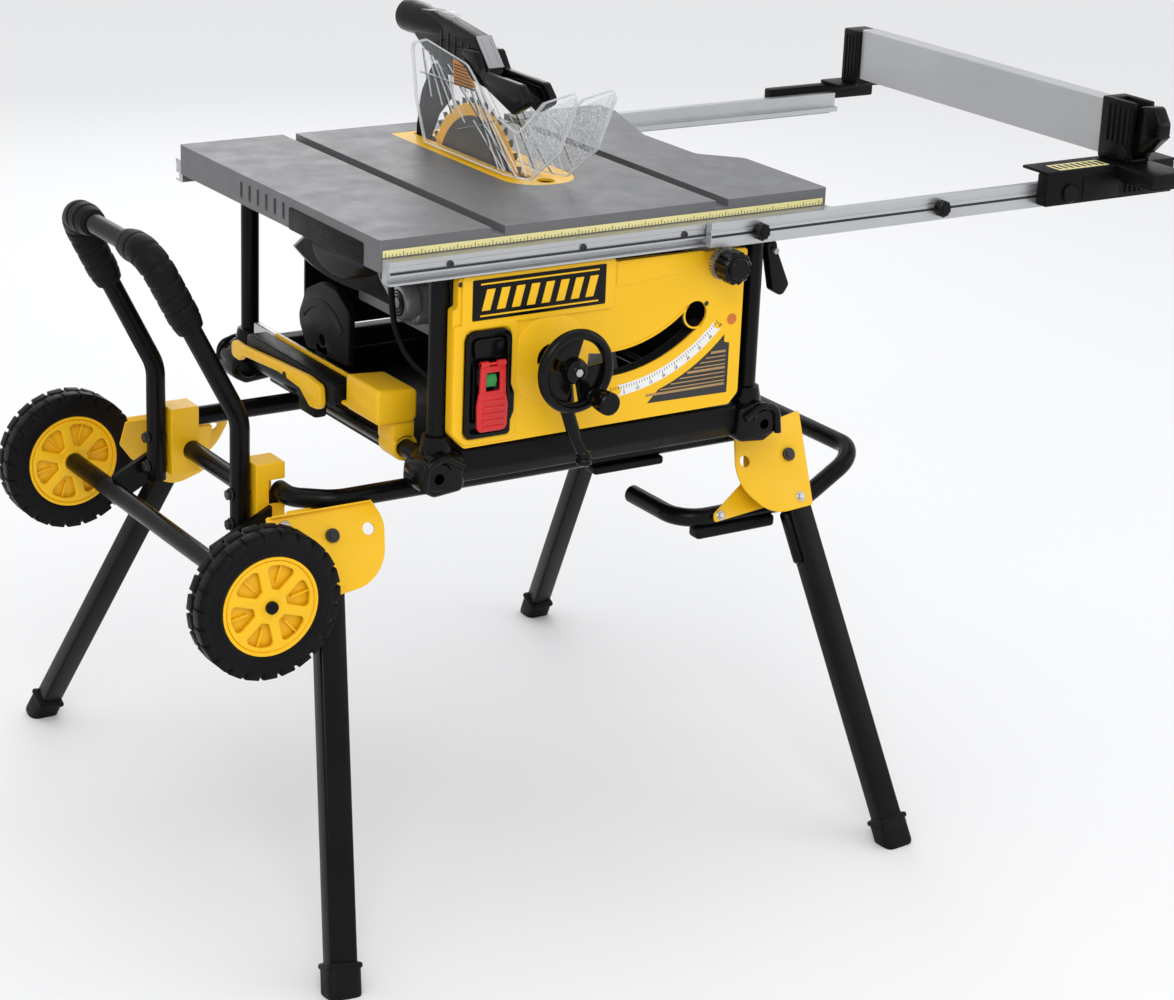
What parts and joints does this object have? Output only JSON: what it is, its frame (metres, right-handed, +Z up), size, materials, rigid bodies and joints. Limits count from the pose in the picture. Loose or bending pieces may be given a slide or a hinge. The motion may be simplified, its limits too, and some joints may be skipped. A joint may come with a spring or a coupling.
{
  "type": "table saw",
  "caption": "Jobsite table saw with tilting blade, guard, extending rails and rip fence on a wheeled stand with folding legs.",
  "frame": {"origin": "on the floor under the middle of the whole saw's box", "axes": "+X to the operator's right along the rails, +Y to the rear, +Z up"},
  "size_m": [1.504, 0.996, 1.067],
  "materials": {
    "table_grey": "satin",
    "rail_aluminium": "satin",
    "yellow_paint": "semi-gloss",
    "yellow_plastic": "semi-gloss",
    "black_frame": "semi-gloss",
    "black_plastic": "satin",
    "rubber": "matte",
    "tyre": "matte",
    "blade_steel": "satin",
    "machined_steel": "satin",
    "cast_grey": "satin",
    "clear_guard": "gloss",
    "red_plastic": "semi-gloss",
    "green_plastic": "semi-gloss",
    "knife_black": "satin"
  },
  "bodies": {
    "base": {"table_top": "table_grey", "throat_plate": "yellow_paint", "fixed_rails": "rail_aluminium", "side_pod": "black_plastic", "cage_tubes": "black_frame", "cage_corners": "black_plastic", "dust_tray": "black_plastic", "front_panel": "yellow_plastic", "switch_box": "black_plastic", "table_brackets": "black_frame", "rear_cover": "black_plastic", "fasteners": "machined_steel", "stand_tubes": "black_frame", "grips_and_rests": "rubber", "handle_tube": "black_frame", "handle_brackets": "yellow_paint", "axle": "black_frame", "leg_brackets": "yellow_paint", "storage_bracket": "yellow_plastic", "push_stick": "yellow_plastic", "mitre_bar": "machined_steel", "motor_lead": "rubber"},
    "tilt_frame": {"tilt_frame": "cast_grey"},
    "elevation_screw": {"elevation_screw": "machined_steel"},
    "handwheel": {"handwheel": "black_plastic"},
    "crank": {"crank_handle": "black_plastic"},
    "bevel_lock": {"bevel_lock_lever": "black_plastic"},
    "lift": {"lift_bracket": "cast_grey", "gear_case": "cast_grey", "motor_housing": "cast_grey", "riving_knife": "knife_black", "guard_arm": "black_plastic"},
    "arbor": {"arbor_shaft": "machined_steel", "saw_blade": "blade_steel"},
    "armature": {"motor_armature": "machined_steel"},
    "guard_links": {"guard_links": "black_plastic"},
    "left_guard": {"left_side_guard": "clear_guard"},
    "right_guard": {"right_side_guard": "clear_guard"},
    "switch_paddle": {"switch_paddle": "red_plastic"},
    "start_button": {"start_button": "green_plastic"},
    "rail_knob": {"rail_knob": "black_plastic"},
    "rail_lock": {"rail_lock_lever": "black_plastic"},
    "fence_rails": {"moving_rails": "rail_aluminium", "fence_carriages": "rail_aluminium", "rip_fence": "rail_aluminium", "fence_brackets": "black_plastic"},
    "fence_latch": {"fence_latch_lever": "black_plastic"},
    "front_wheel": {"front_tyre": "tyre", "front_rim": "yellow_plastic"},
    "rear_wheel": {"rear_tyre": "tyre", "rear_rim": "yellow_plastic"},
    "mitre_head": {"mitre_head": "black_plastic"},
    "front_left_leg": {"front_left_leg": "black_frame", "front_left_foot": "rubber"},
    "front_right_leg": {"front_right_leg": "black_frame", "front_right_foot": "rubber"},
    "rear_left_leg": {"rear_left_leg": "black_frame", "rear_left_foot": "rubber"},
    "rear_right_leg": {"rear_right_leg": "black_frame", "rear_right_foot": "rubber"}
  },
  "joints": [
    {"name": "bevel_tilt", "type": "hinge", "parent": "base", "child": "tilt_frame", "pos_m": [-0.159, 0, 0.884], "axis": [0, -1, 0], "range_deg": [0, 45]},
    {"name": "blade_height", "type": "slide", "parent": "tilt_frame", "child": "lift", "axis": [0, 0, 1], "range_m": [-0.08, 0]},
    {"name": "blade_spin", "type": "hinge", "parent": "lift", "child": "arbor", "pos_m": [-0.159, 0.057, 0.837], "axis": [1, 0, 0], "continuous": true},
    {"name": "motor_spin", "type": "hinge", "parent": "lift", "child": "armature", "pos_m": [-0.159, 0.057, 0.804], "axis": [1, 0, 0], "continuous": true},
    {"name": "handwheel_turn", "type": "hinge", "parent": "tilt_frame", "child": "handwheel", "pos_m": [-0.249, -0.34, 0.707], "axis": [0, -1, 0], "range_deg": [-1440, 0]},
    {"name": "elevation_screw_turn", "type": "hinge", "parent": "tilt_frame", "child": "elevation_screw", "pos_m": [-0.249, -0.03, 0.707], "axis": [0, 0, 1], "range_deg": [-1440, 0]},
    {"name": "crank_handle_spin", "type": "hinge", "parent": "handwheel", "child": "crank", "pos_m": [-0.225, -0.38, 0.673], "axis": [0, -1, 0], "continuous": true},
    {"name": "bevel_lock_swing", "type": "hinge", "parent": "tilt_frame", "child": "bevel_lock", "pos_m": [-0.249, -0.316, 0.707], "axis": [0, 1, 0], "range_deg": [0, 50]},
    {"name": "guard_rise", "type": "slide", "parent": "lift", "child": "guard_links", "axis": [0, 0, 1], "range_m": [0, 0.08]},
    {"name": "left_guard_lift", "type": "slide", "parent": "guard_links", "child": "left_guard", "axis": [0, 0, 1], "range_m": [0, 0.032]},
    {"name": "right_guard_swing", "type": "hinge", "parent": "guard_links", "child": "right_guard", "pos_m": [-0.131, 0.172, 1.006], "axis": [1, 0, 0], "range_deg": [-32, 0]},
    {"name": "switch_paddle_press", "type": "hinge", "parent": "base", "child": "switch_paddle", "pos_m": [-0.341, -0.299, 0.716], "axis": [1, 0, 0], "range_deg": [-60, 0]},
    {"name": "start_button_press", "type": "slide", "parent": "base", "child": "start_button", "axis": [0, 1, 0], "range_m": [0, 0.0025], "stiffness_N_per_m": 400},
    {"name": "rail_extend", "type": "slide", "parent": "base", "child": "fence_rails", "axis": [1, 0, 0], "range_m": [-0.46, 0]},
    {"name": "rail_knob_turn", "type": "hinge", "parent": "base", "child": "rail_knob", "pos_m": [-0.002, -0.33, 0.808], "axis": [0, 1, 0], "range_deg": [-1200, 0]},
    {"name": "rail_lock_swing", "type": "hinge", "parent": "base", "child": "rail_lock", "pos_m": [0.111, -0.254, 0.802], "axis": [0, 1, 0], "range_deg": [-60, 0]},
    {"name": "fence_latch_release", "type": "hinge", "parent": "fence_rails", "child": "fence_latch", "pos_m": [0.674, -0.33, 0.898], "axis": [1, 0, 0], "range_deg": [0, 34]},
    {"name": "mitre_head_swing", "type": "hinge", "parent": "base", "child": "mitre_head", "pos_m": [-0.411, 0.02, 0.638], "axis": [1, 0, 0], "range_deg": [-8, 8]},
    {"name": "front_wheel_spin", "type": "hinge", "parent": "base", "child": "front_wheel", "pos_m": [-0.655, -0.296, 0.456], "axis": [0, 1, 0], "continuous": true},
    {"name": "rear_wheel_spin", "type": "hinge", "parent": "base", "child": "rear_wheel", "pos_m": [-0.655, 0.296, 0.456], "axis": [0, 1, 0], "continuous": true},
    {"name": "front_left_leg_fold", "type": "hinge", "parent": "base", "child": "front_left_leg", "pos_m": [-0.533, -0.226, 0.494], "axis": [0, -0.8952, 0.4458], "range_deg": [0, 84]},
    {"name": "front_right_leg_fold", "type": "hinge", "parent": "base", "child": "front_right_leg", "pos_m": [0.172, -0.226, 0.494], "axis": [0, 0.8952, -0.4458], "range_deg": [0, 95]},
    {"name": "rear_left_leg_fold", "type": "hinge", "parent": "base", "child": "rear_left_leg", "pos_m": [-0.533, 0.196, 0.494], "axis": [0, -0.873, -0.4877], "range_deg": [0, 84]},
    {"name": "rear_right_leg_fold", "type": "hinge", "parent": "base", "child": "rear_right_leg", "pos_m": [0.172, 0.196, 0.494], "axis": [0, 0.873, 0.4877], "range_deg": [0, 95]}
  ],
  "couplings": [
    {"joint": "handwheel_turn", "follows": "blade_height", "rad_per_m": 314.16},
    {"joint": "elevation_screw_turn", "follows": "blade_height", "rad_per_m": 314.16},
    {"joint": "guard_rise", "follows": "blade_height", "ratio": -1},
    {"joint": "left_guard_lift", "follows": "bevel_tilt", "m_per_rad": 0.04},
    {"joint": "motor_spin", "follows": "blade_spin", "ratio": -3.6857},
    {"joint": "rail_knob_turn", "follows": "rail_extend", "rad_per_m": 45.455}
  ]
}
